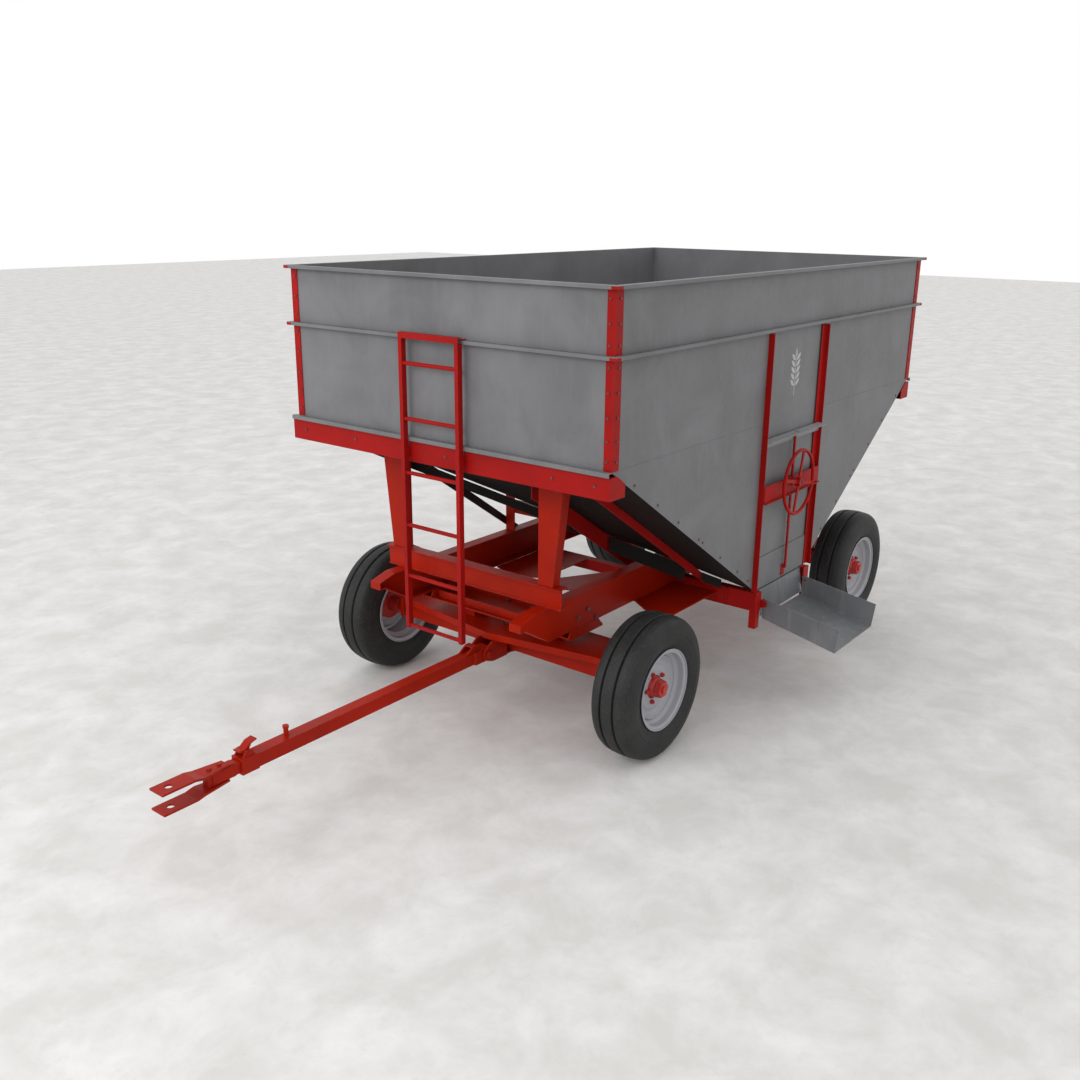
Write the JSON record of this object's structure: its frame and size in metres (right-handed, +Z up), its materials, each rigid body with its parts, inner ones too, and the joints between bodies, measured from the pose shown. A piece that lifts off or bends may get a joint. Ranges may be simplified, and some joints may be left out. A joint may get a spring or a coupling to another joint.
{
  "type": "gravity wagon",
  "caption": "Gravity-flow grain wagon: open bin with sloping floors, side discharge gate and chute, ladder, and a steerable four-wheel running gear with tongue.",
  "frame": {"origin": "on the ground under the centre of the bounding box", "axes": "+X along the wagon towards the tongue's clevis, +Y towards the discharge chute, +Z up"},
  "size_m": [5.1056, 2.524, 2.3439],
  "materials": {
    "machine_red": "satin",
    "gear_red": "satin",
    "box_grey": "satin",
    "floor_grey": "satin",
    "dark_steel": "satin",
    "trim_grey": "satin",
    "bare_steel": "satin",
    "chute_grey": "satin",
    "bolt_steel": "satin",
    "tyre": "matte",
    "wheel_silver": "satin",
    "hub_red": "satin"
  },
  "bodies": {
    "wagon": {"end_walls": "box_grey", "right_wall": "box_grey", "left_wall": "box_grey", "door_panel": "box_grey", "end_floors": "floor_grey", "cross_floor": "floor_grey", "valley_seams": "floor_grey", "side_boards": "box_grey", "top_rail": "box_grey", "wall_rails": "box_grey", "corner_posts": "machine_red", "end_sills": "machine_red", "floor_stiffeners": "machine_red", "floor_struts": "dark_steel", "side_rails": "gear_red", "bolsters": "gear_red", "bolster_legs": "gear_red", "mid_frames": "gear_red", "cross_channels": "machine_red", "gusset_decks": "gear_red", "door_bars": "machine_red", "door_hood": "trim_grey", "crossbar": "machine_red", "chute_lugs": "machine_red", "door_apron": "chute_grey", "ladder_rails": "machine_red", "ladder_rungs": "machine_red", "axle_saddles": "gear_red", "front_axle_deck": "gear_red", "front_axle_beam": "gear_red", "rear_axle_beam": "gear_red", "rear_axle_deck": "gear_red", "bolts": "bolt_steel"},
    "yoke": {"steering_yoke": "gear_red", "king_pin": "bare_steel"},
    "left_knuckle": {"knuckle_left": "gear_red"},
    "right_knuckle": {"knuckle_right": "gear_red"},
    "steering_rod": {"track_rod": "gear_red"},
    "tongue": {"tongue_tube": "gear_red", "tongue_collar": "gear_red"},
    "hitch_bar": {"draw_bar": "gear_red", "clevis_straps": "gear_red"},
    "tongue_latch": {"latch": "gear_red"},
    "gate_leaf": {"gate": "box_grey", "lift_rack": "machine_red"},
    "gate_wheel": {"pinion_shaft": "bare_steel", "handwheel": "machine_red"},
    "chute_tray": {"chute": "chute_grey"},
    "wheel_front_left": {"tyre_front_left": "tyre", "rim_front_left": "wheel_silver", "hub_front_left": "hub_red"},
    "wheel_front_right": {"tyre_front_right": "tyre", "rim_front_right": "wheel_silver", "hub_front_right": "hub_red"},
    "wheel_rear_left": {"tyre_rear_left": "tyre", "rim_rear_left": "wheel_silver", "hub_rear_left": "hub_red"},
    "wheel_rear_right": {"tyre_rear_right": "tyre", "rim_rear_right": "wheel_silver", "hub_rear_right": "hub_red"}
  },
  "joints": [
    {"name": "steer", "type": "hinge", "parent": "wagon", "child": "yoke", "pos_m": [0.37675, -0.222, 0.389], "axis": [0, 0, 1], "range_deg": [-25, 25]},
    {"name": "left_knuckle_turn", "type": "hinge", "parent": "wagon", "child": "left_knuckle", "pos_m": [0.37675, 0.513, 0.389], "axis": [0, 0, 1], "range_deg": [-25.5, 25.5]},
    {"name": "right_knuckle_turn", "type": "hinge", "parent": "wagon", "child": "right_knuckle", "pos_m": [0.37675, -0.957, 0.389], "axis": [0, 0, 1], "range_deg": [-25.5, 25.5]},
    {"name": "steering_rod_swing", "type": "hinge", "parent": "yoke", "child": "steering_rod", "pos_m": [0.22675, -0.222, 0.315], "axis": [0, 0, 1], "range_deg": [-25.5, 25.5]},
    {"name": "tongue_pitch", "type": "hinge", "parent": "yoke", "child": "tongue", "pos_m": [0.60775, -0.222, 0.378], "axis": [0, -1, 0], "range_deg": [-8, 20]},
    {"name": "tongue_extend", "type": "slide", "parent": "tongue", "child": "hitch_bar", "axis": [1, 0, 0], "range_m": [0, 0.2]},
    {"name": "latch_lift", "type": "hinge", "parent": "tongue", "child": "tongue_latch", "pos_m": [2.12775, -0.222, 0.43], "axis": [0, 1, 0], "range_deg": [0, 30]},
    {"name": "gate_lift", "type": "slide", "parent": "wagon", "child": "gate_leaf", "axis": [0, 0, 1], "range_m": [0, 0.19]},
    {"name": "gate_wheel_turn", "type": "hinge", "parent": "wagon", "child": "gate_wheel", "pos_m": [-0.78825, 0.861, 1.215], "axis": [0, 1, 0], "range_deg": [-10, 450]},
    {"name": "chute_fold", "type": "hinge", "parent": "wagon", "child": "chute_tray", "pos_m": [-0.80725, 0.83, 0.566], "axis": [1, 0, 0], "range_deg": [0, 78]},
    {"name": "front_left_wheel_roll", "type": "hinge", "parent": "left_knuckle", "child": "wheel_front_left", "pos_m": [0.37675, 0.674, 0.37], "axis": [0, 1, 0], "continuous": true},
    {"name": "front_right_wheel_roll", "type": "hinge", "parent": "right_knuckle", "child": "wheel_front_right", "pos_m": [0.37675, -1.118, 0.37], "axis": [0, 1, 0], "continuous": true},
    {"name": "rear_left_wheel_roll", "type": "hinge", "parent": "wagon", "child": "wheel_rear_left", "pos_m": [-2.03725, 0.674, 0.37], "axis": [0, 1, 0], "continuous": true},
    {"name": "rear_right_wheel_roll", "type": "hinge", "parent": "wagon", "child": "wheel_rear_right", "pos_m": [-2.03725, -1.118, 0.37], "axis": [0, 1, 0], "continuous": true}
  ],
  "couplings": [
    {"joint": "gate_wheel_turn", "follows": "gate_lift", "rad_per_m": 40},
    {"joint": "left_knuckle_turn", "follows": "steer", "ratio": 1},
    {"joint": "right_knuckle_turn", "follows": "steer", "ratio": 1},
    {"joint": "steering_rod_swing", "follows": "steer", "ratio": -1}
  ]
}
